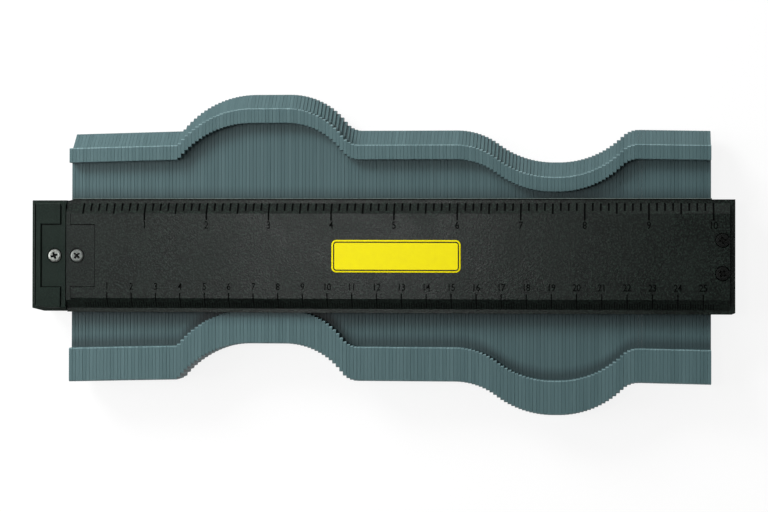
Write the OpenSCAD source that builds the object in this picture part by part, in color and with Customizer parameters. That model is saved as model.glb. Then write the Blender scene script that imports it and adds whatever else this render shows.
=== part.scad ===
// Contour gauge: two moulded covers guide a row of thin leaves that slide to copy a profile.
// X runs along the scale, Y along the leaves towards their noses, Z from the rear face to the front face.
// The origin is the centre of the rear face. All sizes are in millimetres.

/* [Leaves] */
// Sets of leaves in the row
leaf_sets = 45; // [36:1:45]
// Leaves in each set
leaves_per_set = 4; // [3:1:4]
// Distance from one leaf to the next
leaf_pitch = 1.445; // [1.3:0.005:1.6]
// Running gap between two leaves
leaf_gap = 0.06; // [0.04:0.01:0.1]
// Depth of a leaf's shaft, front to rear
shaft_depth = 5; // [4.4:0.1:6]
// Depth of a leaf's nose and heel, front to rear
head_depth = 13; // [12:0.1:16]
// Length of the flat front of the nose
nose_flat = 6; // [3:0.1:8]
// Depth of the ledge between the flat front of the nose and its bevel
nose_ledge = 4.8; // [3:0.1:5.5]
// Length of the bevel that ends the nose
nose_bevel = 6.2; // [4:0.1:8]
// Depth that the bevel runs back behind the ledge
nose_bevel_depth = 5.7; // [4:0.1:6.2]
// Length of the blunt heel
heel_len = 13.7; // [8:0.1:16]
// Chamfer on the outer corners of the heel
leaf_chamfer = 0.5; // [0.2:0.1:1]
// Travel of a leaf towards its nose, from the place where its heel and nose would be alike
leaf_travel = 17.9; // [15:0.1:22]
// Travel of a leaf towards its heel, from the same place
back_travel = 16.7; // [14:0.1:21]

/* [Copied profile] */
// How far the level stretches stand above the place that the travel is measured from
level_offset = 1.8; // [0:0.05:2.5]
// Gap left under the heels at the top of the crest
crest_gap = 1.25; // [0.3:0.05:3]
// Left end of the flat top of the crest, from the middle of the covers
crest_left = -59.4; // [-66:0.1:-55]
// Right end of the flat top of the crest
crest_right = -45.4; // [-50:0.1:-38]
// Radius of the crest's left flank
crest_left_r = 38.5; // [28:0.5:45]
// Radius of the foot of the crest's left flank
crest_left_foot_r = 1.5; // [1:0.5:6]
// Radius of the crest's right flank
crest_right_r = 28.8; // [22:0.1:35]
// Radius of the foot of the crest's right flank
crest_right_foot_r = 8.4; // [2:0.1:12]
// Gap left under the noses at the bottom of the dip
dip_gap = 5.45; // [1:0.05:8]
// Left end of the flat bottom of the dip, from the middle of the covers
dip_left = 62.4; // [58:0.1:64]
// Right end of the flat bottom of the dip
dip_right = 64.7; // [64:0.1:68]
// Radius of the dip's left side
dip_left_r = 37.3; // [30:0.1:45]
// Radius of the shoulder that leads down into the dip from the left
dip_left_shoulder_r = 27.9; // [12:0.1:32]
// Radius of the dip's right side
dip_right_r = 36.5; // [30:0.1:45]
// Radius of the shoulder that leads down into the dip from the right
dip_right_shoulder_r = 9.3; // [4:0.1:14]
// How far the profile falls away from the crest to the left end of the row
left_fall = 1.1; // [0:0.1:1.5]
// How far the profile falls away from the dip to the right end of the row
right_fall = 0.5; // [0:0.1:1.5]

/* [Covers] */
// Width of the covers, across the scale
cover_w = 45.6; // [43:0.1:50]
// Thickness of the lips along the long edges
lip_t = 1.2; // [1:0.1:2]
// Width of the bead along the upper lip, beside the leaves
lip_bead = 0.5; // [0.3:0.1:1]
// Depth of the rebates under the lips, which take in the noses and heels
rebate_w = 2.4; // [1.8:0.1:3]
// Clearance of the noses and heels under the lips
head_clear = 0.3; // [0.2:0.05:0.5]
// Clearance of a leaf's shaft to each cover
slide_clear = 0.2; // [0.1:0.05:0.3]
// Height of the raised field above the lips
field_h = 2.4; // [1.5:0.1:2.8]
// Width of the flat of the raised field
field_flat_w = 34.2; // [32:0.2:36]
// Width of the bevels along the raised field
field_bevel_w = 4.1; // [3:0.1:4.2]
// Width of the rim at the closed right end
rim_w = 2.2; // [1:0.1:3]
// Length of the closed right end, past the leaves
end_wall = 9.2; // [8.6:0.1:12]
// Clearance from the leaves to the wall at each end of the row
stack_clear = 0.2; // [0.1:0.05:0.4]
// Chamfer on the lower right corner, along the cover and across it
cover_corner = [1.5, 0.6]; // [0.2:0.1:3]
// Chamfer on the upper corner beside the joint, along the cover and across it
joint_corner = [2.3, 0.6]; // [0.2:0.1:3]
// Thickness of the outer wall over the hollows in the covers
wall_t = 2; // [1.6:0.1:2.4]
// Hollows along each side of a cover
core_count = 9; // [6:1:12]
// Thickness of the ribs between the hollows
rib_t = 2; // [1.5:0.1:3]
// Width of the hollows, across the scale
core_w = 10.5; // [8:0.1:11]
// Width of the rail between the two rows of hollows
rail_w = 11.5; // [10:0.1:12]

/* [Friction strips] */
// Width of a friction strip
strip_w = 8; // [6:0.1:9]
// Thickness of a friction strip
strip_t = 1.7; // [1.2:0.1:2.2]
// Running gap from a strip to the shafts
strip_clear = 0.06; // [0.04:0.01:0.12]

/* [Joining end] */
// Length of the end block
block_len = 14.4; // [12.5:0.1:18]
// Gap between the end block and the covers
joint_gap = 0.3; // [0.2:0.05:0.6]
// Distance of the end block's long sides inside those of the covers
block_inset = 0.3; // [0.1:0.1:1]
// Width of the lips on the end block
block_lip = 1.4; // [0.8:0.1:2.5]
// Width of the step along the block's outer end
block_step = 1.5; // [0.6:0.1:2]
// Chamfer on the block's lower outer corner, along the block and across it
block_corner = [5, 1.2]; // [0.5:0.1:6]
// Depth of the T-shaped recesses beside the joint
recess_depth = 0.5; // [0.3:0.1:0.8]
// Width of the narrow part of a recess, beside the joint
recess_band = 2; // [1.5:0.1:3]
// Length of the wide part of the recess in a cover, from the joint
recess_len = 12; // [10:0.1:13]
// Length of the wide part of the recess in the end block, from the joint
block_recess_len = 10.1; // [9.5:0.1:11]
// Width of the wide part of a recess, across the scale
recess_w = 25.6; // [20:0.2:28]
// Length of a link plate on each side of the joint
link_len = 9.4; // [8:0.1:10]
// Width of a link plate
link_w = 25; // [18:0.2:27]
// Thickness of a link plate
link_t = 2.4; // [2:0.1:2.6]
// Clearance round a link plate
link_clear = 0.15; // [0.1:0.05:0.3]
// Distance of each link screw from the joint
link_screw_x = 4.5; // [4:0.1:5.5]

/* [Screws] */
// Diameter of a screw head
head_d = 5.5; // [5:0.1:6]
// Height of a screw head
head_h = 1.9; // [1.6:0.1:2.1]
// Diameter of a screw shank
shank_d = 2.9; // [2.5:0.1:3.2]
// Clearance round a shank in the hole that it is screwed into
thread_clear = 0.05; // [0.02:0.01:0.1]
// Clearance round a screw head and round a shank in a plain hole
hole_clear = 0.3; // [0.2:0.05:0.4]
// Depth that the head of an end screw sits below the face round it
head_sink = 0.35; // [0.2:0.05:0.5]
// Distance of the end screws from the right end of the covers
end_screw_in = 5; // [4.8:0.1:6]
// Distance between the two end screws
end_screw_apart = 13.2; // [10:0.2:18]
// Length of the end screws under their heads
end_screw_len = 12; // [10:0.5:13]

/* [Label] */
// Length of the plain label
label_len = 52; // [40:1:60]
// Width of the label
label_w = 13; // [10:0.5:16]
// Radius of the label's corners
label_r = 2; // [1:0.5:4]
// Thickness of the label
label_t = 0.4; // [0.3:0.1:0.6]
// Height of the label above the face round it
label_proud = 0.1; // [0.05:0.05:0.2]
// Clearance round the label in its seat
label_clear = 0.1; // [0.05:0.05:0.2]

/* [Hidden] */
$fn = 48;
ABS_BLACK = "#2b2f2d";
ABS_GREY = "#6b8486";
leaf_count = leaf_sets * leaves_per_set;
leaf_t = leaf_pitch - leaf_gap;
stack_len = leaf_count * leaf_pitch - leaf_gap;
cover_len = stack_len + 2 * stack_clear + end_wall;
joint_x = -cover_len / 2;
stack_x = joint_x + stack_clear;

// Heights in this section are measured from the plane midway between the covers.
channel_z = shaft_depth / 2 + slide_clear;
rebate_z = head_depth / 2 + head_clear;
lip_z = rebate_z + lip_t;
field_z = lip_z + field_h;
mid_z = field_z;
body_t = 2 * field_z;
recess_z = field_z - recess_depth;
field_w = field_flat_w + 2 * field_bevel_w;
link_low_z = channel_z + slide_clear;
link_top_z = link_low_z + link_t;
strip_low_z = shaft_depth / 2 + strip_clear;
strip_top_z = strip_low_z + strip_t;
seat_depth = head_h + head_sink;
link_seat_depth = head_h - recess_depth;

// The copied profile
shaft_top = cover_w / 2 - rebate_w + back_travel;
shaft_low = rebate_w - cover_w / 2 - leaf_travel;
crest_h = leaf_travel - crest_gap - level_offset;
dip_h = back_travel - dip_gap + level_offset;
fall_left_x = crest_left - flank_len(crest_h, crest_left_r, crest_left_foot_r);
fall_right_x = dip_right + flank_len(dip_h, dip_right_r, dip_right_shoulder_r);

STATIC_NODES = ["front_cover", "rear_cover", "end_block", "front_link_plate", "rear_link_plate",
    "block_link_screws", "cover_link_screws", "end_screws", "front_friction_strip", "rear_friction_strip",
    "label"];

function leaf_node(set) = str("leaves_", set < 10 ? "0" : "", set);

// Drop of an arc of radius r at distance d from its highest point
function sag(d, r) = r - sqrt(r * r - pow(min(d, r), 2));

// Length of a flank of height h: an arc of radius r that turns into a foot of radius foot_r
function flank_len(h, r, foot_r) = sqrt(h * (2 * (r + foot_r) - h));

// What is left of a flank's height at distance d from its start
function flank(d, h, r, foot_r) =
    let (len = flank_len(h, r, foot_r), turn = len * r / (r + foot_r))
    d < turn ? h - sag(d, r) : sag(max(0, len - d), foot_r);

// Rise of the crest above the level stretches
function crest(x) =
    x < crest_left ? flank(crest_left - x, crest_h, crest_left_r, crest_left_foot_r)
    : x > crest_right ? flank(x - crest_right, crest_h, crest_right_r, crest_right_foot_r)
    : crest_h;

// Drop of the dip below the level stretches
function dip(x) =
    x < dip_left ? flank(dip_left - x, dip_h, dip_left_r, dip_left_shoulder_r)
    : x > dip_right ? flank(x - dip_right, dip_h, dip_right_r, dip_right_shoulder_r)
    : dip_h;

// Gentle fall from the crest to the left end of the row and from the dip to the right end
function fall(x) = left_fall * max(0, (fall_left_x - x) / (fall_left_x - stack_x))
    + right_fall * max(0, (x - fall_right_x) / (stack_x + stack_len - fall_right_x));

// Offset of a leaf from the place that its travel is measured from
function offset_at(x) = level_offset + crest(x) - dip(x) - fall(x);

// Side view of a leaf, with Y along its length and Z through its depth
function leaf_outline() =
    let (s = shaft_depth / 2, h = head_depth / 2, nose = shaft_top, heel = shaft_low, c = leaf_chamfer)
    let (ledge_y = nose + nose_flat, tip_y = ledge_y + nose_bevel, end_y = heel - heel_len)
    let (ledge_z = h - nose_ledge)
    [[nose, s], [nose, h], [ledge_y, h], [ledge_y, ledge_z], [tip_y, ledge_z - nose_bevel_depth], [tip_y, -h],
     [nose, -h], [nose, -s], [heel, -s], [heel, -h], [end_y + c, -h], [end_y, c - h],
     [end_y, h - c], [end_y + c, h], [heel, h], [heel, s]];

module leaf(index) {
    x = stack_x + index * leaf_pitch;
    translate([x, offset_at(x + leaf_t / 2), mid_z])
        rotate([90, 0, 90])
            linear_extrude(leaf_t)
                polygon(leaf_outline());
}

module leaf_set(set) {
    color(ABS_GREY)
        for (i = [0 : leaves_per_set - 1])
            leaf((set - 1) * leaves_per_set + i);
}

// A T lying on its side at the joint: a narrow band along the joint and a wide tab, reaching to +X
module recess_outline(len) {
    translate([-joint_gap, -cover_w / 2]) square([recess_band + joint_gap, cover_w]);
    translate([-joint_gap, -recess_w / 2]) square([len + joint_gap, recess_w]);
}

// Counterbore of a given depth and plain hole for a screw in a face at height top_z
module screw_seat(top_z, depth, hole_bottom_z) {
    translate([0, 0, top_z - depth])
        cylinder(d = head_d + 2 * hole_clear, h = depth + field_h);
    translate([0, 0, hole_bottom_z])
        cylinder(d = shank_d + 2 * hole_clear, h = top_z - hole_bottom_z);
}

// Pan-head screw with a cross recess. The underside of its head is at height zero.
module pan_screw(len) {
    dome_h = head_h * 0.4;
    dome_r = dome_h / 2 + head_d * head_d / (8 * dome_h);
    cross_w = head_d * 0.17;
    cross_len = head_d * 0.56;
    cross_depth = head_h * 0.6;
    difference() {
        union() {
            intersection() {
                cylinder(d = head_d, h = head_h);
                translate([0, 0, head_h - dome_r]) sphere(r = dome_r);
            }
            translate([0, 0, -len]) cylinder(d = shank_d, h = len);
        }
        for (turn = [0, 90])
            rotate(turn)
                translate([-cross_len / 2, -cross_w / 2, head_h - cross_depth])
                    cube([cross_len, cross_w, head_h]);
    }
}

// Raised field of a cover: bevelled along both edges, square at both ends
module field() {
    f = field_flat_w / 2;
    b = field_w / 2;
    translate([joint_x, 0, 0])
        rotate([90, 0, 90])
            linear_extrude(cover_len - rim_w)
                polygon([[-b, lip_z], [-f, field_z], [f, field_z], [b, lip_z]]);
}

// Plate of a cover, from the leaf channel to the lips, with two clipped corners
module cover_plate() {
    right = cover_len / 2;
    low = -cover_w / 2;
    translate([0, 0, channel_z])
        linear_extrude(lip_z - channel_z)
            polygon([[joint_x, low], [right - cover_corner.x, low], [right, low + cover_corner.y],
                     [right, -low], [joint_x + joint_corner.x, -low], [joint_x, -low - joint_corner.y]]);
}

// Bead along the upper lip, as long as the row of leaves
module upper_bead() {
    translate([joint_x + joint_corner.x, cover_w / 2 - lip_bead, rebate_z])
        cube([cover_len - end_wall - joint_corner.x, 2 * lip_bead, lip_t]);
}

// Half of the wall that closes the right end. The two covers meet at height zero.
module end_wall_half() {
    right = cover_len / 2;
    low = -cover_w / 2;
    linear_extrude(channel_z)
        polygon([[right - end_wall, low], [right - cover_corner.x, low], [right, low + cover_corner.y],
                 [right, -low], [right - end_wall, -low]]);
}

// Two rows of hollows on the inside of a cover, with ribs between them
module cover_cores() {
    first = joint_x + recess_len + rib_t;
    last = cover_len / 2 - end_wall - rib_t;
    pitch = (last - first + rib_t) / core_count;
    for (i = [0 : core_count - 1], side = [-1, 1])
        translate([first + i * pitch, side * (rail_w + core_w) / 2 - core_w / 2, channel_z - slide_clear])
            cube([pitch - rib_t, core_w, field_z - wall_t - channel_z + slide_clear]);
}

// Rebates under the lips along both edges, as long as the row of leaves
module edge_rebates() {
    for (side = [0, 1])
        mirror([0, side, 0])
            translate([joint_x - joint_gap, cover_w / 2 - rebate_w, channel_z - slide_clear])
                cube([cover_len - end_wall + joint_gap, 2 * rebate_w, rebate_z - channel_z + slide_clear]);
}

// Groove for a friction strip along the middle rail
module strip_groove() {
    translate([strip_x(), -strip_w / 2 - slide_clear, channel_z - slide_clear])
        cube([strip_len(), strip_w + 2 * slide_clear, strip_top_z - channel_z + slide_clear]);
}

function strip_x() = joint_x + recess_len + rib_t;
function strip_len() = cover_len - end_wall - recess_len - 2 * rib_t;

// Pocket for a link plate, open to the joint and to the leaf channel
module link_pocket() {
    translate([joint_x - joint_gap, -link_w / 2 - link_clear, channel_z - slide_clear])
        cube([link_len + joint_gap + link_clear, link_w + 2 * link_clear,
              link_top_z - channel_z + slide_clear]);
}

module end_screw_places() {
    for (side = [-1, 1])
        translate([cover_len / 2 - end_screw_in, side * end_screw_apart / 2, 0])
            children();
}

// One cover seen from its own outer face
module cover_shell() {
    difference() {
        union() {
            cover_plate();
            field();
            end_wall_half();
            upper_bead();
        }
        translate([joint_x, 0, recess_z]) linear_extrude(field_h) recess_outline(recess_len);
        link_pocket();
        translate([joint_x + link_screw_x, 0, 0]) screw_seat(recess_z, link_seat_depth, channel_z);
        cover_cores();
        edge_rebates();
        strip_groove();
    }
}

module front_cover() {
    color(ABS_BLACK)
        translate([0, 0, mid_z])
            difference() {
                cover_shell();
                end_screw_places() screw_seat(field_z, seat_depth, -slide_clear);
                translate([0, 0, field_z - label_t + label_proud])
                    linear_extrude(label_t)
                        label_outline(label_clear);
            }
}

module rear_cover() {
    hole_depth = end_screw_len - (field_z - seat_depth) + head_sink;
    color(ABS_BLACK)
        translate([0, 0, mid_z])
            difference() {
                mirror([0, 0, 1]) cover_shell();
                end_screw_places()
                    translate([0, 0, -hole_depth])
                        cylinder(d = shank_d + 2 * thread_clear, h = hole_depth + slide_clear);
            }
}

// Outline of the end block, drawn in by an inset from its outer end and from its long sides
module block_outline(end_inset, side_inset) {
    right = joint_x - joint_gap;
    left = right - block_len + end_inset;
    low = -cover_w / 2 + block_inset + side_inset;
    polygon([[left, low + block_corner.y], [left + block_corner.x, low], [right, low],
             [right, -low], [left, -low]]);
}

module end_block() {
    color(ABS_BLACK)
        translate([0, 0, mid_z])
            difference() {
                union() {
                    translate([0, 0, -lip_z]) linear_extrude(2 * lip_z) block_outline(0, 0);
                    translate([0, 0, -field_z]) linear_extrude(body_t) block_outline(block_step, block_lip);
                }
                for (face = [0, 1]) mirror([0, 0, face]) block_face_cuts();
            }
}

// What is cut into each face of the end block: the recess, the link plate's slot and the screw's seat
module block_face_cuts() {
    translate([joint_x - joint_gap, 0, recess_z])
        linear_extrude(field_h)
            mirror([1, 0, 0]) recess_outline(block_recess_len);
    translate([joint_x - joint_gap - link_len - link_clear, -link_w / 2 - link_clear, link_low_z - link_clear])
        cube([link_len + 2 * link_clear, link_w + 2 * link_clear, link_t + link_clear]);
    translate([joint_x - joint_gap - link_screw_x, 0, 0]) screw_seat(recess_z, link_seat_depth, link_low_z);
}

// Plate that bridges the joint, with a threaded hole on each side
module link_plate() {
    middle = joint_x - joint_gap / 2;
    difference() {
        translate([middle - link_len - joint_gap / 2, -link_w / 2, link_low_z])
            cube([2 * link_len + joint_gap, link_w, link_t]);
        for (side = [-1, 1])
            translate([middle + side * (link_screw_x + joint_gap / 2), 0, link_low_z - link_clear])
                cylinder(d = shank_d + 2 * thread_clear, h = link_t + 2 * link_clear);
    }
}

module front_link_plate() {
    color("silver") translate([0, 0, mid_z]) link_plate();
}

module rear_link_plate() {
    color("silver") translate([0, 0, mid_z]) mirror([0, 0, 1]) link_plate();
}

// A link screw on the front face and one on the rear face. The tops of their heads are level with the faces.
module link_screw_pair(x) {
    seat_z = recess_z - link_seat_depth;
    for (face = [0, 1])
        translate([x, 0, mid_z])
            mirror([0, 0, face])
                translate([0, 0, seat_z])
                    pan_screw(seat_z - link_low_z);
}

module block_link_screws() {
    color("lightgrey") link_screw_pair(joint_x - joint_gap - link_screw_x);
}

module cover_link_screws() {
    color("grey") link_screw_pair(joint_x + link_screw_x);
}

module end_screws() {
    color("dimgrey")
        translate([0, 0, mid_z + field_z - seat_depth])
            end_screw_places()
                pan_screw(end_screw_len);
}

module friction_strip() {
    translate([strip_x() + slide_clear, -strip_w / 2, strip_low_z])
        cube([strip_len() - 2 * slide_clear, strip_w, strip_t]);
}

module front_friction_strip() {
    color("darkslategrey") translate([0, 0, mid_z]) friction_strip();
}

module rear_friction_strip() {
    color("darkslategrey") translate([0, 0, mid_z]) mirror([0, 0, 1]) friction_strip();
}

// Rounded rectangle in the middle of the covers, grown by a margin
module label_outline(margin) {
    for (x = [-1, 1], y = [-1, 1])
        translate([x * (label_len / 2 - label_r), y * (label_w / 2 - label_r)])
            circle(r = label_r + margin);
    square([label_len + 2 * margin, label_w - 2 * label_r], center = true);
    square([label_len - 2 * label_r, label_w + 2 * margin], center = true);
}

module label() {
    color("gold")
        translate([0, 0, mid_z + field_z - label_t + label_proud])
            linear_extrude(label_t)
                label_outline(0);
}

front_cover();
rear_cover();
end_block();
front_link_plate();
rear_link_plate();
block_link_screws();
cover_link_screws();
end_screws();
front_friction_strip();
rear_friction_strip();
label();
for (set = [1 : leaf_sets])
    leaf_set(set);
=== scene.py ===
"""Contour gauge: grey leaves slide between two black ruled covers and copy a profile."""
import math
import random

import bmesh
import bpy
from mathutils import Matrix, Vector


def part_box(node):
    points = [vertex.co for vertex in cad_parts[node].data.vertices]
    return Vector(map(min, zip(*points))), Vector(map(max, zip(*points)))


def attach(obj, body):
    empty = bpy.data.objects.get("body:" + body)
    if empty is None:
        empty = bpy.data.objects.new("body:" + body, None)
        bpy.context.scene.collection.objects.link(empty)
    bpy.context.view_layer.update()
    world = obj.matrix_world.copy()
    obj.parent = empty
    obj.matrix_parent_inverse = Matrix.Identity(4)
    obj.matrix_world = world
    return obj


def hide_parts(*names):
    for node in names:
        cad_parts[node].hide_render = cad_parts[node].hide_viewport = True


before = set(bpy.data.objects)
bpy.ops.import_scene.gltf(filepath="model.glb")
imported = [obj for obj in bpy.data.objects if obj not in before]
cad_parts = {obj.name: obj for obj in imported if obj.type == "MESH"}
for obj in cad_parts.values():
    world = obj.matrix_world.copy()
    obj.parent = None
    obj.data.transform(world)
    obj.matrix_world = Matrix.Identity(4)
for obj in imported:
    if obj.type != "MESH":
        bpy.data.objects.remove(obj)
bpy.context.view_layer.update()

MM = 0.001

# Places that the pieces share, taken from the frame
COVER_LOW, COVER_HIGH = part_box("front_cover")
REAR_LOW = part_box("rear_cover")[0]
BLOCK_LOW, BLOCK_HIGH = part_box("end_block")
FACE_Z = COVER_HIGH.z
FACING = 0.99  # a face counts as facing along an axis when its normal points at least this much that way

# The row of leaves, with sizes as in the source
LEAF_SETS = 45
LEAVES_PER_SET = 4
ROW_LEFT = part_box("leaves_01")[0].x
ROW_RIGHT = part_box("leaves_45")[1].x
LEAF_GAP = 0.06 * MM
LEAF_MID_Z = (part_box("leaves_01")[0].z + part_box("leaves_01")[1].z) / 2
SHAFT_DEPTH = 5 * MM
HEEL_LEN = 13.7 * MM
LEAF_PITCH = (ROW_RIGHT - ROW_LEFT + LEAF_GAP) / (LEAF_SETS * LEAVES_PER_SET)
# How far a leaf's front corners are eased, those that face the noses' way and those that face the heels' way
NOSE_EASE = 0.4 * MM
HEEL_EASE = 0.22 * MM
# How far the outline of a leaf's broad side is eased; it differs from leaf to leaf
GROOVE_WIDTHS = [width * MM for width in (0.01, 0.015, 0.02, 0.03, 0.06)]
# The low pad on a leaf's right side
PAD_INSET = 0.35 * MM
PAD_HEIGHT = 0.05 * MM
NOSE_BEVEL_AREA = 4 * MM * MM  # the bevel of a nose is larger than this, an eased corner is smaller

# The ruled field, which stands above the lips: a flat with a bevel along each edge
FIELD_H = 2.4 * MM
LIP_Z = FACE_Z - FIELD_H
FIELD_FLAT = 17.1 * MM
FIELD_EDGE = 21.2 * MM
BEVEL_TILT = math.atan2(FACE_Z - LIP_Z, FIELD_EDGE - FIELD_FLAT)
BEAD_Y = FIELD_EDGE + 1.7 * MM
# How far in from the closed end reach its rim, painted lighter against the field's shadow on it, and the edge
# above the rim, painted as a highlight
RIM_REACH = 2.5 * MM
RIM_EDGE_REACH = 3.5 * MM
# Rounding of the moulded corners and of the bead
EASE = 0.25 * MM
BEAD_EASE = 0.3 * MM

# The two scales
INCH = 25.4 * MM
RULE_ZERO = -127.8 * MM
RULE_INCHES = 10
RULE_CENTIMETRES = 25
RULE_MILLIMETRES = 254
MARK_DEPTH = 0.45 * MM
FINE_MARK_DEPTH = 0.12 * MM
CAPITAL_HEIGHT = 0.7  # height of a digit as a share of the font's size
DIGIT_WIDTH = 0.86  # width of a digit as a share of the font's own
# Marks on the bevels: where they begin and end, from the middle line of the face, and their widths
LONG_MARK_INNER = 17.0 * MM
EIGHTH_OUTER = 21.25 * MM
EIGHTH_INNER = 18.15 * MM
EIGHTH_W = 0.75 * MM
MM_MARK_OUTER = 20.9 * MM
MM_MARK_INNER = 18.7 * MM
FIVE_MM_INNER = 17.9 * MM
MM_MARK_W = 0.25 * MM
CM_MARK_W = 0.45 * MM
# Lines and numbers on the flat
INCH_LINE_Y = 15.95 * MM
INCH_LINE_W = 0.7 * MM
INCH_LINE_LEN = 3.1 * MM
INCH_NUMBER_Y = 12.3 * MM
INCH_NUMBER_H = 3.0 * MM
CM_LINE_Y = -16.2 * MM
CM_LINE_W = 0.5 * MM
CM_LINE_LEN = 2.6 * MM
CM_NUMBER_Y = -12.5 * MM
CM_NUMBER_H = 2.8 * MM

# The T-shaped recess on each side of the joint, as in the source
RECESS_DEPTH = 0.5 * MM
RECESS_BAND = 2 * MM
COVER_RECESS_LEN = 12 * MM
BLOCK_RECESS_LEN = 10.1 * MM
RECESS_W = 25.6 * MM
BLOCK_RECESS_REACH = 20 * MM

# Screws
HEAD_D = 5.5 * MM
HEAD_H = 1.9 * MM
SHANK_D = 2.9 * MM
TIP_LEN = 0.6 * MM
LINK_SHANK_LEN = 5.2 * MM
LINK_HEAD_ROUND = 0.8 * MM
END_HEAD_ROUND = 0.3 * MM
END_HEAD_EXTRA = 0.2 * MM
CROSS_W = 1.2 * MM
CROSS_LEN = 4.0 * MM
CROSS_DEPTH = 1.2 * MM

# The photograph's width in pixels, its focal length in pixels, and the width of the camera's sensor in mm
PHOTO_WIDTH = 768
PHOTO_FOCAL = 1944.6
SENSOR_WIDTH = 36


def linear(colour):
    """Turns an sRGB hex colour into the linear values that a shader takes."""
    parts = [int(colour[i:i + 2], 16) / 255 for i in (1, 3, 5)]
    return tuple(c / 12.92 if c <= 0.04045 else ((c + 0.055) / 1.055) ** 2.4 for c in parts) + (1.0,)


def add_node(tree, kind, inputs=None, **settings):
    """Adds a node with its settings, and fills its inputs with values or with links from other nodes."""
    made = tree.nodes.new(kind)
    for name, value in settings.items():
        setattr(made, name, value)
    for name, value in (inputs or {}).items():
        if isinstance(value, bpy.types.NodeSocket):
            tree.links.new(value, made.inputs[name])
        else:
            made.inputs[name].default_value = value
    return made


def new_material(name):
    """An empty material, ready for its nodes."""
    material = bpy.data.materials.new(name)
    material.use_nodes = True
    material.node_tree.nodes.clear()
    return material, material.node_tree


def moulded_black_abs(name, dark, light, dusty, index):
    """ABS moulded in a spark-eroded tool. To the eye: near black with a breath of green, a fine pebbled grain
    that breaks the light into specks, and broad patches a little smoother than the rest."""
    material, tree = new_material(name)
    place = add_node(tree, "ShaderNodeTexCoord").outputs["Object"]
    # The real grain is about 0.15 mm; it is drawn at 0.7 mm so that it shows in the render.
    grain = add_node(tree, "ShaderNodeTexNoise", {"Vector": place, "Scale": 1 / (0.7 * MM), "Detail": 2.0,
                                                  "Roughness": 0.6}).outputs["Fac"]
    patches = add_node(tree, "ShaderNodeTexNoise", {"Vector": place, "Scale": 1 / (14 * MM), "Detail": 3.0,
                                                    "Roughness": 0.55}).outputs["Fac"]
    speck = add_node(tree, "ShaderNodeMapRange", {"Value": grain, "From Min": 0.45,
                                                  "From Max": 0.7}).outputs[0]
    shade = add_node(tree, "ShaderNodeMix", {0: speck, 6: linear(dark), 7: linear(light)}, data_type="RGBA")
    dust = add_node(tree, "ShaderNodeMapRange", {"Value": patches, "From Min": 0.35, "From Max": 0.75,
                                                 "To Min": 0.0, "To Max": 0.35}).outputs[0]
    colour = add_node(tree, "ShaderNodeMix", {0: dust, 6: shade.outputs[2], 7: linear(dusty)},
                      data_type="RGBA")
    rough = add_node(tree, "ShaderNodeMapRange", {"Value": patches, "From Min": 0.3, "From Max": 0.7,
                                                  "To Min": 0.28, "To Max": 0.36}).outputs[0]
    bump = add_node(tree, "ShaderNodeBump", {"Height": grain, "Strength": 0.35, "Distance": 0.2 * MM})
    skin = add_node(tree, "ShaderNodeBsdfPrincipled", {
        "Base Color": colour.outputs[2], "Roughness": rough, "IOR": index, "Normal": bump.outputs[0]})
    add_node(tree, "ShaderNodeOutputMaterial", {"Surface": skin.outputs[0]})
    return material


def engraved_black_abs():
    """The same ABS in the bottom of a mark or groove. To the eye: deep black, without the grain of the face;
    the black is painted shade.
    """
    material, tree = new_material("black_abs_painted_groove_shade")
    place = add_node(tree, "ShaderNodeTexCoord").outputs["Object"]
    wipe = add_node(tree, "ShaderNodeTexNoise", {"Vector": place, "Scale": 1 / (2.5 * MM),
                                                 "Detail": 2.0}).outputs["Fac"]
    colour = add_node(tree, "ShaderNodeMix", {0: wipe, 6: linear("#020303"), 7: linear("#070908")},
                      data_type="RGBA")
    rough = add_node(tree, "ShaderNodeMapRange", {"Value": wipe, "To Min": 0.6, "To Max": 0.75}).outputs[0]
    skin = add_node(tree, "ShaderNodeBsdfPrincipled", {
        "Base Color": colour.outputs[2], "Roughness": rough, "IOR": 1.2})
    add_node(tree, "ShaderNodeOutputMaterial", {"Surface": skin.outputs[0]})
    return material


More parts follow.
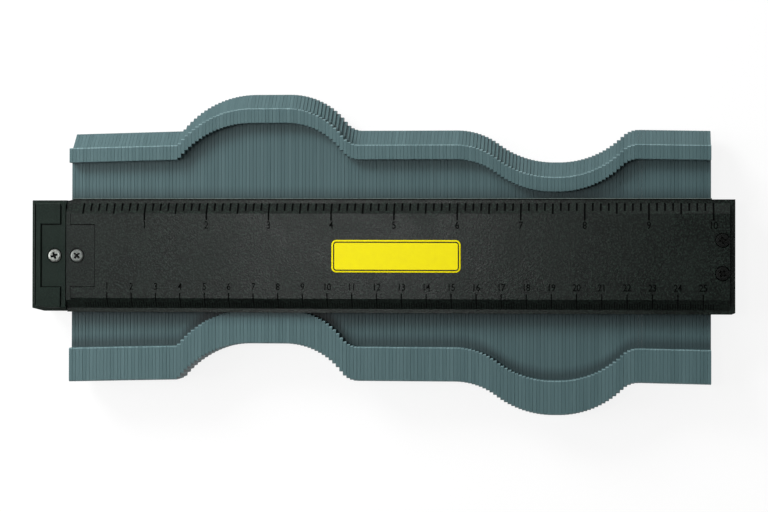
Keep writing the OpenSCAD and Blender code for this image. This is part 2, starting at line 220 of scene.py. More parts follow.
def moulded_grey_abs(name, dark, light, streaks, painted_shade, corner):
    """ABS leaves moulded many at a time. To the eye: a cool blue grey with a satin skin, each leaf a little
    lighter or darker than the next, and faint lengthwise rubbing where the leaves slide on each other.
    Painted shade darkens the leaves by a set amount, more beside the covers, and in the corner above the heel."""
    material, tree = new_material(name)
    place = add_node(tree, "ShaderNodeTexCoord").outputs["Object"]
    axes = add_node(tree, "ShaderNodeSeparateXYZ", {"Vector": place}).outputs
    from_left = add_node(tree, "ShaderNodeMath", {0: axes["X"], 1: ROW_LEFT - LEAF_GAP / 2},
                         operation="SUBTRACT")
    counted = add_node(tree, "ShaderNodeMath", {0: from_left.outputs[0], 1: LEAF_PITCH}, operation="DIVIDE")
    number = add_node(tree, "ShaderNodeMath", {0: counted.outputs[0]}, operation="FLOOR")
    chance = add_node(tree, "ShaderNodeTexWhiteNoise", {"W": number.outputs[0]},
                      noise_dimensions="1D").outputs["Value"]
    stretched = add_node(tree, "ShaderNodeMapping", {
        "Vector": place, "Scale": (1 / (0.5 * MM), 1 / (14 * MM), 1 / (3 * MM))})
    rubbing = add_node(tree, "ShaderNodeTexNoise", {"Vector": stretched.outputs[0], "Scale": 1.0,
                                                    "Detail": 2.0}).outputs["Fac"]
    pick = add_node(tree, "ShaderNodeMix", {0: chance, 6: linear(dark), 7: linear(light)}, data_type="RGBA")
    streak = add_node(tree, "ShaderNodeMapRange", {"Value": rubbing, "From Min": 0.35, "From Max": 0.7,
                                                   "To Min": 0.0, "To Max": 0.3}).outputs[0]
    colour = add_node(tree, "ShaderNodeMix", {0: streak, 6: pick.outputs[2], 7: linear(streaks)},
                      data_type="RGBA")
    from_middle = add_node(tree, "ShaderNodeMath", {0: axes["Y"]}, operation="ABSOLUTE").outputs[0]
    # Painted shade: the leaves are darkened beside the covers, where the covers shade the shafts.
    cover_shade = add_node(tree, "ShaderNodeMapRange", {"Value": from_middle, "From Min": 24 * MM,
                                                   "From Max": 28.5 * MM, "To Min": painted_shade + 0.42,
                                                   "To Max": painted_shade}).outputs[0]
    # Painted shade in the corner above each heel's shoulder, fading out between 2 and 5.5 mm above it.
    shoulder = add_node(tree, "ShaderNodeAttribute", attribute_name="heel_shoulder").outputs["Fac"]
    above = add_node(tree, "ShaderNodeMath", {0: axes["Y"], 1: shoulder}, operation="SUBTRACT").outputs[0]
    corner_shade = add_node(tree, "ShaderNodeMapRange", {"Value": above, "From Min": 2 * MM, "From Max": 5.5 * MM,
                                                  "To Min": corner, "To Max": 0.0}).outputs[0]
    cover_shade = add_node(tree, "ShaderNodeMath", {0: cover_shade, 1: corner_shade}, operation="ADD",
                      use_clamp=True).outputs[0]
    colour = add_node(tree, "ShaderNodeMix", {0: cover_shade, 6: colour.outputs[2], 7: linear("#1d2a2d")},
                      data_type="RGBA")
    rough = add_node(tree, "ShaderNodeMapRange", {"Value": rubbing, "To Min": 0.42, "To Max": 0.6}).outputs[0]
    # The skin's orange peel is finer than this; it is drawn at 0.6 mm so that it shows.
    peel = add_node(tree, "ShaderNodeTexNoise", {"Vector": place, "Scale": 1 / (0.6 * MM),
                                                 "Detail": 1.0}).outputs["Fac"]
    bump = add_node(tree, "ShaderNodeBump", {"Height": peel, "Strength": 0.12, "Distance": 0.05 * MM})
    skin = add_node(tree, "ShaderNodeBsdfPrincipled", {
        "Base Color": colour.outputs[2], "Roughness": rough, "IOR": 1.46, "Normal": bump.outputs[0]})
    add_node(tree, "ShaderNodeOutputMaterial", {"Surface": skin.outputs[0]})
    return material


def plated_steel(name, dark, light, low_rough, high_rough):
    """Steel parts, plated in a tumbling barrel. To the eye: a soft metallic shine with fine handling marks
    and cloudy patches in the plating."""
    material, tree = new_material(name)
    place = add_node(tree, "ShaderNodeTexCoord").outputs["Object"]
    cloud = add_node(tree, "ShaderNodeTexNoise", {"Vector": place, "Scale": 1 / (1.2 * MM),
                                                  "Detail": 3.0}).outputs["Fac"]
    scuff = add_node(tree, "ShaderNodeTexNoise", {"Vector": place, "Scale": 1 / (0.2 * MM),
                                                  "Detail": 2.0}).outputs["Fac"]
    colour = add_node(tree, "ShaderNodeMix", {0: cloud, 6: linear(dark), 7: linear(light)}, data_type="RGBA")
    rough = add_node(tree, "ShaderNodeMapRange", {"Value": cloud, "From Min": 0.3, "From Max": 0.7,
                                                  "To Min": low_rough, "To Max": high_rough}).outputs[0]
    bump = add_node(tree, "ShaderNodeBump", {"Height": scuff, "Strength": 0.06, "Distance": 0.02 * MM})
    skin = add_node(tree, "ShaderNodeBsdfPrincipled", {
        "Base Color": colour.outputs[2], "Metallic": 1.0, "Roughness": rough, "Normal": bump.outputs[0]})
    add_node(tree, "ShaderNodeOutputMaterial", {"Surface": skin.outputs[0]})
    return material


def printed_film(name, deep, bright):
    """Polyester label film printed in one ink and laminated. To the eye: one strong colour with a faint
    unevenness in the ink under a smooth glossy skin."""
    material, tree = new_material(name)
    place = add_node(tree, "ShaderNodeTexCoord").outputs["Object"]
    ink = add_node(tree, "ShaderNodeTexNoise", {"Vector": place, "Scale": 1 / (3 * MM),
                                                "Detail": 4.0}).outputs["Fac"]
    colour = add_node(tree, "ShaderNodeMix", {0: ink, 6: linear(deep), 7: linear(bright)}, data_type="RGBA")
    rough = add_node(tree, "ShaderNodeMapRange", {"Value": ink, "To Min": 0.3, "To Max": 0.4}).outputs[0]
    skin = add_node(tree, "ShaderNodeBsdfPrincipled", {
        "Base Color": colour.outputs[2], "Roughness": rough, "IOR": 1.22})
    add_node(tree, "ShaderNodeOutputMaterial", {"Surface": skin.outputs[0]})
    return material


def friction_rubber():
    """Moulded nitrile rubber strip. To the eye: matt black with a grey bloom."""
    material, tree = new_material("nitrile_rubber_strip")
    place = add_node(tree, "ShaderNodeTexCoord").outputs["Object"]
    bloom = add_node(tree, "ShaderNodeTexNoise", {"Vector": place, "Scale": 1 / (4 * MM),
                                                  "Detail": 4.0}).outputs["Fac"]
    colour = add_node(tree, "ShaderNodeMix", {0: bloom, 6: linear("#171818"), 7: linear("#2c2d2d")},
                      data_type="RGBA")
    skin = add_node(tree, "ShaderNodeBsdfPrincipled", {"Base Color": colour.outputs[2], "Roughness": 0.85})
    add_node(tree, "ShaderNodeOutputMaterial", {"Surface": skin.outputs[0]})
    return material


BLACK_ABS = moulded_black_abs("black_abs_spark_grain", "#020604", "#212d27", "#18221d", 1.36)
# The end block comes from another tool, with a duller and greener skin.
BLOCK_ABS = moulded_black_abs("black_abs_dull_grain", "#111c17", "#1b2822", "#202c26", 1.25)
# Painted highlight: the bead along the upper edge is coloured dark grey. Painted light: the lip beside it is
# coloured lighter.
BEAD_HIGHLIGHT_ABS = moulded_black_abs("black_abs_painted_highlight", "#46504c", "#5c6763", "#636d69", 1.38)
PAINTED_LIGHT_ABS = moulded_black_abs("black_abs_painted_light", "#39443f", "#4f5a56", "#525d59", 1.38)
# Painted shade: the marks and grooves cut into the covers and the end block are coloured deep black.
GROOVE_SHADE_ABS = engraved_black_abs()
LEAF_GREYS = ("#455f62", "#4f696c", "#5a7578")
GREY_ABS = moulded_grey_abs("grey_abs_satin", *LEAF_GREYS, 0.0, 0.0)
# Painted shade: the shafts are darkened evenly, and more in the corner above the heel.
SHAFT_ABS = moulded_grey_abs("grey_abs_shaft_painted_shade", *LEAF_GREYS, 0.18, 0.55)
# Painted shade: the bevels of the noses, which face the key light, are darkened.
BEVEL_ABS = moulded_grey_abs("grey_abs_bevel_painted_shade", *LEAF_GREYS, 0.2, 0.0)
# Painted highlight: the edges that stand proud are coloured paler.
EDGE_ABS = moulded_grey_abs("grey_abs_painted_highlight", "#5a7376", "#728b8e", "#7d9699", 0.0, 0.0)
BRIGHT_ZINC = plated_steel("zinc_plated_steel_bright", "#8d918c", "#b0b4af", 0.28, 0.4)
DULL_ZINC = plated_steel("zinc_plated_steel_dull", "#6f7471", "#8f9490", 0.36, 0.5)
# Painted shade: the cross recesses of the screws are coloured dark.
SHADED_RECESS_STEEL = plated_steel("steel_recess_painted_shade", "#1a1b1a", "#3a3c3a", 0.45, 0.6)
BLACK_OXIDE = plated_steel("black_oxide_steel", "#1b1d1c", "#343635", 0.36, 0.5)
YELLOW_FILM = printed_film("yellow_label_film", "#ecdc00", "#f7ea00")
BLACK_PRINT = printed_film("black_label_print", "#0c0d0c", "#161716")
RUBBER = friction_rubber()


def only(piece):
    """Selects one piece alone and makes it the active one."""
    bpy.ops.object.select_all(action="DESELECT")
    piece.select_set(True)
    bpy.context.view_layer.objects.active = piece


def new_piece(name):
    """An empty mesh object at the origin, ready for edit mode."""
    piece = bpy.data.objects.new(name, bpy.data.meshes.new(name))
    bpy.context.scene.collection.objects.link(piece)
    only(piece)
    return piece


def merged_copy(node, name):
    """Copies a CAD node's mesh into a new piece, joins its loose triangles and clears the lines inside flat
    faces."""
    piece = bpy.data.objects.new(name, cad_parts[node].data.copy())
    bpy.context.scene.collection.objects.link(piece)
    piece.data.name = name
    only(piece)
    bpy.ops.object.mode_set(mode="EDIT")
    bpy.ops.mesh.select_all(action="SELECT")
    bpy.ops.mesh.remove_doubles(threshold=1e-6)
    bpy.ops.mesh.dissolve_limited(angle_limit=math.radians(0.5))
    bpy.ops.object.mode_set(mode="OBJECT")
    return piece


def select_edges(piece, chosen):
    """In edit mode, selects the edges that a test picks."""
    bpy.ops.mesh.select_mode(type="EDGE")
    bpy.ops.mesh.select_all(action="DESELECT")
    shape = bmesh.from_edit_mesh(piece.data)
    shape.normal_update()
    for edge in shape.edges:
        if chosen(edge):
            edge.select_set(True)
    bmesh.update_edit_mesh(piece.data)


def select_faces(piece, chosen):
    """In edit mode, selects the faces that a test picks."""
    bpy.ops.mesh.select_mode(type="FACE")
    bpy.ops.mesh.select_all(action="DESELECT")
    shape = bmesh.from_edit_mesh(piece.data)
    shape.normal_update()
    for face in shape.faces:
        if chosen(face):
            face.select_set(True)
    bmesh.update_edit_mesh(piece.data)


def soften(piece, chosen, width, segments):
    """Rounds the edges that a test picks."""
    only(piece)
    bpy.ops.object.mode_set(mode="EDIT")
    select_edges(piece, chosen)
    bpy.ops.mesh.bevel(offset=width, segments=segments, affect="EDGES", clamp_overlap=True)
    bpy.ops.object.mode_set(mode="OBJECT")


def paint(piece, *materials):
    """Gives a piece its materials, the first one all over."""
    piece.data.materials.clear()
    for material in materials:
        piece.data.materials.append(material)
    for face in piece.data.polygons:
        face.material_index = 0


def put_on(piece, body, slot, *nodes):
    """The piece rides on a body and stands for CAD nodes, which it hides. Its slot is not used."""
    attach(piece, body)
    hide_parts(*nodes)


def outer_corner(edge, length=1.0 * MM):
    """True for a sharp edge that sticks out and is not a facet of a round hole."""
    return (len(edge.link_faces) == 2 and edge.is_convex and edge.calc_length() > length
            and edge.calc_face_angle() > math.radians(20))


def note_shoulders(piece, left):
    """Stores with each leaf where the shoulder of its heel is, for the painted shade in that corner."""
    shoulder = piece.data.attributes.new("heel_shoulder", "FLOAT", "POINT")
    leaf_of = [int((corner.co.x - left + 0.005 * MM) / LEAF_PITCH) for corner in piece.data.vertices]
    for leaf in range(LEAVES_PER_SET):
        own = [corner for corner in piece.data.vertices if leaf_of[corner.index] == leaf]
        heel = min(corner.co.y for corner in own) + HEEL_LEN
        for corner in own:
            shoulder.data[corner.index].value = heel


def make_leaves():
    """The sliding leaves: the front corners of the nose and heel are eased, and so is the outline of each
    broad side, which leaves fine dark grooves of differing widths between neighbours. A low pad on the right
    side of each leaf keeps it off the next one."""
    chance = random.Random(5)
    for number in range(1, LEAF_SETS + 1):
        node = "leaves_%02d" % number
        piece = merged_copy(node, "leaf_piece_%02d" % number)
        left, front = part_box(node)[0].x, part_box(node)[1].z

        def front_corner(edge, way):
            return (outer_corner(edge) and min(corner.co.z for corner in edge.verts) > front - 0.01 * MM
                    and any(face.normal.y * way > 0.9 for face in edge.link_faces))

        soften(piece, lambda edge: front_corner(edge, 1), NOSE_EASE, 1)
        soften(piece, lambda edge: front_corner(edge, -1), HEEL_EASE, 1)
        for leaf in range(LEAVES_PER_SET):
            middle = left + leaf * LEAF_PITCH + (LEAF_PITCH - LEAF_GAP) / 2

            def outline(edge):
                return (abs(edge.verts[0].co.x - middle) < LEAF_PITCH / 2
                        and sum(abs(face.normal.x) > FACING for face in edge.link_faces) == 1)

            soften(piece, outline, chance.choice(GROOVE_WIDTHS), 1)
        bpy.ops.object.mode_set(mode="EDIT")
        select_faces(piece, lambda face: face.normal.x > FACING)
        bpy.ops.mesh.inset(thickness=PAD_INSET, use_individual=True)
        bpy.ops.transform.translate(value=(PAD_HEIGHT, 0, 0))
        bpy.ops.object.mode_set(mode="OBJECT")
        paint(piece, GREY_ABS, SHAFT_ABS, BEVEL_ABS, EDGE_ABS)
        shaft, bevel, highlighted = 1, 2, 3
        for face in piece.data.polygons:
            # The shafts take painted shade.
            if abs(face.center.z - LEAF_MID_Z) < SHAFT_DEPTH / 2 + 0.1 * MM and abs(face.normal.y) < 0.1:
                face.material_index = shaft
            # The large nose bevels take painted shade, the small eased corners a painted highlight.
            elif 0.5 < abs(face.normal.y) < 0.9 and face.normal.z > 0.5:
                face.material_index = bevel if face.area > NOSE_BEVEL_AREA else highlighted
        note_shoulders(piece, left)
        put_on(piece, "leaf_set_%02d" % number, "grey_abs", node)


def add_bar(x, y, z, width, length, tilt=0, depth=MARK_DEPTH):
    """Adds one bar of a cutter, lying across the face."""
    bpy.ops.mesh.primitive_cube_add(size=1, location=(x, y, z), rotation=(tilt, 0, 0),
                                    scale=(width, length, 2 * depth))


def add_bevel_bar(x, outer, inner, width, side, depth=MARK_DEPTH):
    """A bar on the bevel at the upper (side 1) or lower (side -1) edge, from outer to inner across it."""
    slope = (FACE_Z - LIP_Z) / (FIELD_EDGE - FIELD_FLAT)
    middle = (outer + inner) / 2
    z = FACE_Z - (middle - FIELD_FLAT) * slope
    add_bar(x, side * middle, z, width, (outer - inner) / math.cos(BEVEL_TILT), -side * BEVEL_TILT, depth)


def cut_from(piece, cutter):
    """Cuts a cutter out of a piece and throws the cutter away."""
    only(piece)
    cut = piece.modifiers.new("marks", "BOOLEAN")
    cut.operation = "DIFFERENCE"
    cut.solver = "EXACT"
    cut.use_self = True
    # The cut faces take the cutter's material, which is painted shade.
    cut.material_mode = "TRANSFER"
    cut.object = cutter
    bpy.ops.object.modifier_apply(modifier=cut.name)
    bpy.data.objects.remove(cutter)


def bevel_marks():
    """Cutter for the marks on the two bevels: eighths of an inch above, millimetres below."""
    cutter = new_piece("bevel_mark_cutter")
    bpy.ops.object.mode_set(mode="EDIT")
    for eighth in range(8 * RULE_INCHES + 1):
        x = RULE_ZERO + eighth * INCH / 8
        inner = EIGHTH_INNER if eighth % 4 else LONG_MARK_INNER
        add_bevel_bar(x, EIGHTH_OUTER, inner, EIGHTH_W, 1)
    for millimetre in range(1, RULE_MILLIMETRES + 1):
        x = RULE_ZERO + millimetre * MM
        inner = MM_MARK_INNER if millimetre % 5 else FIVE_MM_INNER if millimetre % 10 else LONG_MARK_INNER
        width = MM_MARK_W if millimetre % 10 else CM_MARK_W
        add_bevel_bar(x, MM_MARK_OUTER, inner, width, -1, FINE_MARK_DEPTH)
    bpy.ops.object.mode_set(mode="OBJECT")
    paint(cutter, GROOVE_SHADE_ABS)
    return cutter


def add_number(number, x, y, height):
    """One number of the rule as a mesh that stands through the face."""
    bpy.ops.object.select_all(action="DESELECT")
    bpy.ops.object.text_add()
    words = bpy.context.object
    words.data.body = str(number)
    words.data.align_x = "CENTER"
    words.data.align_y = "CENTER"
    words.data.size = height / CAPITAL_HEIGHT
    words.data.space_character = 0.95
    words.data.extrude = MARK_DEPTH
    words.data.resolution_u = 3
    words.data.offset = 0.04 * MM
    bpy.ops.object.convert(target="MESH")
    words = bpy.context.object
    words.location = (x, y, FACE_Z)
    words.scale = (DIGIT_WIDTH, 1, 1)
    bpy.ops.object.transform_apply(location=True, rotation=True, scale=True)
    return words


def flat_marks():
    """Cutter for the long marks and the numbers on the flat of the face."""
    numbers = [add_number(inch, RULE_ZERO + inch * INCH, INCH_NUMBER_Y, INCH_NUMBER_H)
               for inch in range(1, RULE_INCHES + 1)]
    numbers += [add_number(centimetre, RULE_ZERO + centimetre * 10 * MM, CM_NUMBER_Y, CM_NUMBER_H)
                for centimetre in range(1, RULE_CENTIMETRES + 1)]
    cutter = new_piece("flat_mark_cutter")
    bpy.ops.object.mode_set(mode="EDIT")
    for inch in range(1, RULE_INCHES + 1):
        add_bar(RULE_ZERO + inch * INCH, INCH_LINE_Y, FACE_Z, INCH_LINE_W, INCH_LINE_LEN)
    for centimetre in range(1, RULE_CENTIMETRES + 1):
        add_bar(RULE_ZERO + centimetre * 10 * MM, CM_LINE_Y, FACE_Z, CM_LINE_W, CM_LINE_LEN)
    bpy.ops.object.mode_set(mode="OBJECT")
    only(cutter)
    for words in numbers:
        words.select_set(True)
    bpy.ops.object.join()
    bpy.ops.object.mode_set(mode="EDIT")
    bpy.ops.mesh.select_all(action="SELECT")
    bpy.ops.mesh.remove_doubles(threshold=1e-6)
    bpy.ops.mesh.normals_make_consistent(inside=False)
    bpy.ops.object.mode_set(mode="OBJECT")
    paint(cutter, GROOVE_SHADE_ABS)
    return cutter


def recess_groove(joint, side, length, reach):
    """Cutter for the fine groove along the steps of the T-shaped recess beside the joint, on the cover
    (side 1) or on the end block (side -1). Length is how far the recess runs from the joint, and reach is how
    far its band goes across the face."""
    cutter = new_piece("recess_groove_cutter")
    bpy.ops.object.mode_set(mode="EDIT")
    inside, width, depth = 0.17 * MM, 0.3 * MM, 0.4 * MM
    floor = FACE_Z - RECESS_DEPTH
    neck, end = joint + side * (RECESS_BAND - inside), joint + side * (length - inside)
    half = RECESS_W / 2 - inside
    add_bar(end, 0, floor, width, 2 * half + width, depth=depth)
    for way in (1, -1):
        add_bar(neck, way * (half + reach) / 2, floor, width, reach - half + width, depth=depth)
        add_bar((neck + end) / 2, way * half, floor, abs(end - neck) + width, width, depth=depth)
    bpy.ops.object.mode_set(mode="OBJECT")
    paint(cutter, GROOVE_SHADE_ABS)
    return cutter


def lip_groove(z):
    """Cutter for the fine groove between the bead along the upper lip and the rest of the lip."""
    cutter = new_piece("lip_groove_cutter")
    bpy.ops.object.mode_set(mode="EDIT")
    y, width, depth = 22.72 * MM, 0.45 * MM, 0.35 * MM
    start, end = ROW_LEFT + 2 * MM, ROW_RIGHT - 0.5 * MM
    add_bar((start + end) / 2, y, z, end - start, width, depth=depth)
    bpy.ops.object.mode_set(mode="OBJECT")
    paint(cutter, GROOVE_SHADE_ABS)
    return cutter


def end_groove():
    """Cutter for the fine moulded line across the end block just inside its outer end."""
    cutter = new_piece("end_groove_cutter")
    bpy.ops.object.mode_set(mode="EDIT")
    from_end, width, depth = 2.0 * MM, 0.5 * MM, 0.45 * MM
    add_bar(BLOCK_LOW.x + from_end, 0, FACE_Z, width, 2 * FIELD_EDGE, depth=depth)
    bpy.ops.object.mode_set(mode="OBJECT")
    paint(cutter, GROOVE_SHADE_ABS)
    return cutter


def make_covers():
    """The two moulded covers: outer corners eased, the bead along the upper lip rounded with a fine groove
    beside it, and the scales cut into the front one."""
    middle = (COVER_HIGH.z + REAR_LOW.z) / 2
    lip_height = LIP_Z - middle
    slack = 0.1 * MM
    bead_shortest = 100 * MM
    for node, name in (("front_cover", "front_cover_shell"), ("rear_cover", "rear_cover_shell")):
        piece = merged_copy(node, name)

        def outside(edge):
            height = [abs(corner.co.z - middle) for corner in edge.verts]
            return min(height) > lip_height - slack and outer_corner(edge)

        def bead(edge):
            return (outer_corner(edge, bead_shortest) and all(corner.co.y > BEAD_Y for corner in edge.verts)
                    and all(abs(corner.co.z - middle) > lip_height - slack for corner in edge.verts))

        soften(piece, lambda edge: outside(edge) and not bead(edge), EASE, 2)
        soften(piece, bead, BEAD_EASE, 2)
        paint(piece, BLACK_ABS, BEAD_HIGHLIGHT_ABS, PAINTED_LIGHT_ABS)
        highlighted, lightened = 1, 2
        for face in piece.data.polygons:
            at, way = face.center, face.normal
            # Painted highlight on the bead's rounded faces.
            if at.y > BEAD_Y and 0.1 < abs(way.z) < FACING and abs(way.x) < 0.1:
                face.material_index = highlighted
            # Painted light: the flats of the upper lip and of the rim at the closed end are coloured lighter.
            elif (abs(abs(at.z - middle) - lip_height) < slack / 2
                  and (at.y > FIELD_EDGE or at.x > COVER_HIGH.x - RIM_REACH)):
                face.material_index = lightened
            # Painted highlight: the rounded edge of the field above that rim.
            elif at.x > COVER_HIGH.x - RIM_EDGE_REACH and 0.1 < way.x < FACING and abs(way.z) > 0.1:
                face.material_index = lightened
        cut_from(piece, lip_groove(LIP_Z if node == "front_cover" else 2 * middle - LIP_Z))
        if node == "front_cover":
            cut_from(piece, bevel_marks())
            cut_from(piece, flat_marks())
            cut_from(piece, recess_groove(COVER_LOW.x, 1, COVER_RECESS_LEN, FIELD_FLAT))
        put_on(piece, "gauge_body", "black_abs", node)


def make_end_block():
    """The end block: outer corners eased, and fine grooves cut at its recess and its outer end."""
    piece = merged_copy("end_block", "end_block_shell")
    soften(piece, lambda edge: outer_corner(edge, 0.8 * MM), EASE, 2)
    paint(piece, BLOCK_ABS)
    cut_from(piece, recess_groove(BLOCK_HIGH.x, -1, BLOCK_RECESS_LEN, BLOCK_RECESS_REACH))
    cut_from(piece, end_groove())
    put_on(piece, "gauge_body", "black_abs", "end_block")


def cross_cutter(width, length, depth):
    """A cross with tapering arms that sinks into the top of a screw head at the origin."""
    cutter = new_piece("cross_cutter")
    bpy.ops.object.mode_set(mode="EDIT")
    for size in ((length, width), (width, length)):
        bpy.ops.mesh.primitive_cube_add(size=1, location=(0, 0, 0), scale=(size[0], size[1], 2 * depth))
    select_faces(cutter, lambda face: face.normal.z < -0.9)
    bpy.ops.transform.resize(value=(0.45, 0.45, 1))
    bpy.ops.object.mode_set(mode="OBJECT")
    # The cross recess takes painted shade.
    paint(cutter, SHADED_RECESS_STEEL)
    return cutter


def pan_screw(name, material, head_d, length, rounding):
    """A pan-head screw with a cross recess, its head's top at the origin and its shank pointing down."""
    bpy.ops.object.select_all(action="DESELECT")
    bpy.ops.mesh.primitive_cylinder_add(vertices=48, radius=head_d / 2, depth=HEAD_H,
                                        location=(0, 0, -HEAD_H / 2))
    piece = bpy.context.object
    piece.name = piece.data.name = name
    bpy.ops.object.transform_apply(location=True, rotation=True, scale=True)
    bpy.ops.object.mode_set(mode="EDIT")
    select_faces(piece, lambda face: face.normal.z > 0.9)
    bpy.ops.mesh.bevel(offset=rounding, segments=5, profile=0.55, affect="EDGES")
    select_faces(piece, lambda face: face.normal.z < -0.9)
    bpy.ops.mesh.inset(thickness=head_d / 2 - SHANK_D / 2)
    bpy.ops.mesh.extrude_region_move(TRANSFORM_OT_translate={"value": (0, 0, -length + TIP_LEN)})
    bpy.ops.mesh.extrude_region_move(TRANSFORM_OT_translate={"value": (0, 0, -TIP_LEN)})
    bpy.ops.transform.resize(value=(0.7, 0.7, 1))
    bpy.ops.object.mode_set(mode="OBJECT")
    paint(piece, material)
    cut_from(piece, cross_cutter(CROSS_W, CROSS_LEN, CROSS_DEPTH))
    only(piece)
    bpy.ops.object.shade_smooth_by_angle(angle=math.radians(35))
    return piece


def place_screws(name, node, master, places, slot):
    """Copies a screw to its places, each a point, a turn and whether it faces the rear, as one piece."""
    copies = []
    for point, turn, rear in places:
        copy = bpy.data.objects.new(name, master.data.copy())
        bpy.context.scene.collection.objects.link(copy)
        only(copy)
        copy.location = point
        copy.rotation_euler = (math.pi if rear else 0, 0, turn)
        bpy.ops.object.transform_apply(location=True, rotation=True, scale=True)
        copies.append(copy)
    only(copies[0])
    for copy in copies:
        copy.select_set(True)
    bpy.ops.object.join()
    copies[0].name = copies[0].data.name = name
    put_on(copies[0], "gauge_body", slot, node)


def make_screws():
    """Two zinc-plated link screws on each face beside the joint and two black screws at the closed end."""
    for node, name, material, turn in (("block_link_screws", "block_screws", BRIGHT_ZINC, 0.35),
                                       ("cover_link_screws", "cover_screws", DULL_ZINC, 0.8)):
        low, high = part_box(node)
        x = (low.x + high.x) / 2
        master = pan_screw("link_screw", material, HEAD_D, LINK_SHANK_LEN, LINK_HEAD_ROUND)
        place_screws(name, node, master, [((x, 0, high.z), turn, False), ((x, 0, low.z), turn + 0.6, True)],
                     "plated_steel")
        bpy.data.objects.remove(master)
    low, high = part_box("end_screws")
    x, reach = (low.x + high.x) / 2, high.y - HEAD_D / 2
    # The black screws have flatter heads that nearly fill their seats.
    master = pan_screw("end_screw", BLACK_OXIDE, HEAD_D + END_HEAD_EXTRA, high.z - low.z - HEAD_H,
                       END_HEAD_ROUND)
    place_screws("end_screw_pair", "end_screws", master,
                 [((x, reach, high.z), 0.2, False), ((x, -reach, high.z), 0.95, False)], "black_steel")
    bpy.data.objects.remove(master)


def make_label():
    """The plain yellow label: softened edge and a thin black line printed just inside it."""
    piece = merged_copy("label", "label_plate")
    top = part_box("label")[1].z - 0.01 * MM
    rim, margin, line = 0.08 * MM, 0.55 * MM, 0.5 * MM

    def upper_rim(edge):
        return outer_corner(edge, 0.05 * MM) and min(corner.co.z for corner in edge.verts) > top

    soften(piece, upper_rim, rim, 2)
    paint(piece, YELLOW_FILM, BLACK_PRINT)
    only(piece)
    bpy.ops.object.mode_set(mode="EDIT")
    select_faces(piece, lambda face: face.normal.z > FACING and face.calc_center_median().z > top)
    bpy.ops.mesh.inset(thickness=margin)
    bpy.ops.mesh.inset(thickness=line)
    shape = bmesh.from_edit_mesh(piece.data)
    inner = [face for face in shape.faces if face.select]
    ring = {edge for face in inner for edge in face.edges}
    for face in shape.faces:
        if not face.select and any(edge in ring for edge in face.edges):
            face.material_index = 1
    bmesh.update_edit_mesh(piece.data)
    bpy.ops.object.mode_set(mode="OBJECT")
    only(piece)
    bpy.ops.object.shade_smooth_by_angle(angle=math.radians(30))
    put_on(piece, "gauge_body", "label_film", "label")


def dress_inner_nodes():
    """The pieces inside keep their CAD shapes and only take a material."""
    for node, material in (("front_link_plate", DULL_ZINC), ("rear_link_plate", DULL_ZINC),
                           ("front_friction_strip", RUBBER), ("rear_friction_strip", RUBBER)):
        paint(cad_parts[node], material)


def make_floor():
    """A plain white table top that keeps the gauge's shadow. Seen straight or in a reflection it glows a
    little, so that it comes out white."""
    drop = 0.02 * MM
    bpy.ops.object.select_all(action="DESELECT")
    bpy.ops.mesh.primitive_circle_add(vertices=64, radius=6, fill_type="NGON", location=(0, 0, 0))
    floor = bpy.context.object
    floor.name = floor.data.name = "table_top"
    floor.location.z = -drop
    material, tree = new_material("white_table_top")
    path = add_node(tree, "ShaderNodeLightPath").outputs
    seen = add_node(tree, "ShaderNodeMath", {0: path["Is Camera Ray"], 1: path["Is Glossy Ray"]},
                    operation="MAXIMUM")
    seen = add_node(tree, "ShaderNodeMath", {0: seen.outputs[0], 1: path["Is Transmission Ray"]},
                    operation="MAXIMUM")
    plain = add_node(tree, "ShaderNodeBsdfDiffuse", {"Color": linear("#e6e6e6")})
    dimmed = add_node(tree, "ShaderNodeBsdfDiffuse", {"Color": linear("#6c6c6c")})
    glow = add_node(tree, "ShaderNodeEmission", {"Color": linear("#ffffff"), "Strength": 0.87})
    bright = add_node(tree, "ShaderNodeAddShader", {0: dimmed.outputs[0], 1: glow.outputs[0]})
    mixed = add_node(tree, "ShaderNodeMixShader", {0: seen.outputs[0], 1: plain.outputs[0],
                                                   2: bright.outputs[0]})
    add_node(tree, "ShaderNodeOutputMaterial", {"Surface": mixed.outputs[0]})
    floor.data.materials.append(material)


def soft_light(name, place, aim, size, watts):
    """A rectangular soft box that points at a spot."""
    lamp = bpy.data.lights.new(name, "AREA")
    lamp.shape = "RECTANGLE"
    lamp.size, lamp.size_y = size
    lamp.energy = watts
    box = bpy.data.objects.new(name, lamp)
    bpy.context.scene.collection.objects.link(box)
    box.location = place
    box.rotation_euler = (Vector(aim) - Vector(place)).to_track_quat("-Z", "Y").to_euler()
    return box


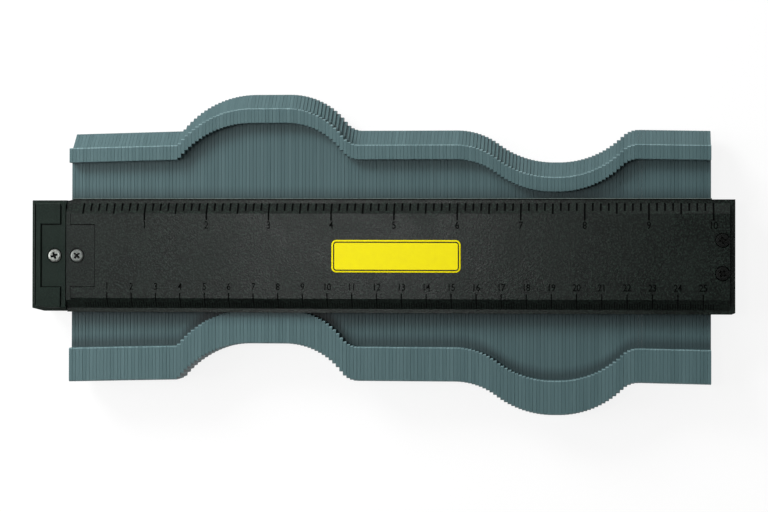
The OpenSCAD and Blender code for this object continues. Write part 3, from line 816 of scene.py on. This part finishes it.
def make_studio():
    """A key light from the far left, a softer one at the left, a weak overhead light that gives the face its
    glow, and a room that is brighter on the far side, with walls that are pale near the floor."""
    key = soft_light("key_light", (-0.68, 0.68, 0.52), (0, 0, 0.01), (0.45, 0.35), 11.6)
    # The key light's mirror image would whiten the black faces in views against the light.
    key.visible_glossy = False
    soft_light("left_light", (-0.75, 0.05, 0.3), (0, 0, 0.01), (0.4, 1.2), 5.0)
    soft_light("overhead_light", (-0.165, 0.06, 1.0), (-0.03, 0, 0), (0.16, 0.16), 1.05)
    world = bpy.data.worlds.new("studio_room")
    bpy.context.scene.world = world
    world.use_nodes = True
    tree = world.node_tree
    tree.nodes.clear()
    way = add_node(tree, "ShaderNodeTexCoord").outputs["Generated"]
    axes = add_node(tree, "ShaderNodeSeparateXYZ", {"Vector": way}).outputs
    far_side = add_node(tree, "ShaderNodeMapRange", {"Value": axes["Y"], "From Min": 0.0, "From Max": 1.0,
                                                     "To Min": 0.05, "To Max": 0.8}).outputs[0]
    low_wall = add_node(tree, "ShaderNodeMapRange", {"Value": axes["Z"], "From Min": 0.16, "From Max": 0.26,
                                                     "To Min": 1.0, "To Max": 0.0}).outputs[0]
    level = add_node(tree, "ShaderNodeMath", {0: far_side, 1: low_wall}, operation="MAXIMUM").outputs[0]
    room = add_node(tree, "ShaderNodeBackground", {"Color": linear("#ffffff"), "Strength": level})
    add_node(tree, "ShaderNodeOutputWorld", {"Surface": room.outputs[0]})
    bpy.context.scene.view_settings.view_transform = "Standard"


def make_camera():
    """Looks straight down on the face from a little right of the middle, as in the photograph."""
    view = bpy.data.cameras.new("photo_view")
    camera = bpy.data.objects.new("photo_view", view)
    bpy.context.scene.collection.objects.link(camera)
    view.sensor_width = SENSOR_WIDTH
    view.lens = PHOTO_FOCAL / PHOTO_WIDTH * SENSOR_WIDTH
    view.shift_x, view.shift_y = -0.12, -0.04
    view.clip_start, view.clip_end = 0.01, 50
    camera.location = (97.44 * MM, 5.62 * MM, 792.88 * MM)
    camera.rotation_mode = "ZXY"
    camera.rotation_euler = (0.0088, 0.0843, 0.0016)
    bpy.context.scene.camera = camera


make_camera()
make_leaves()
make_covers()
make_end_block()
make_screws()
make_label()
dress_inner_nodes()
make_floor()
make_studio()
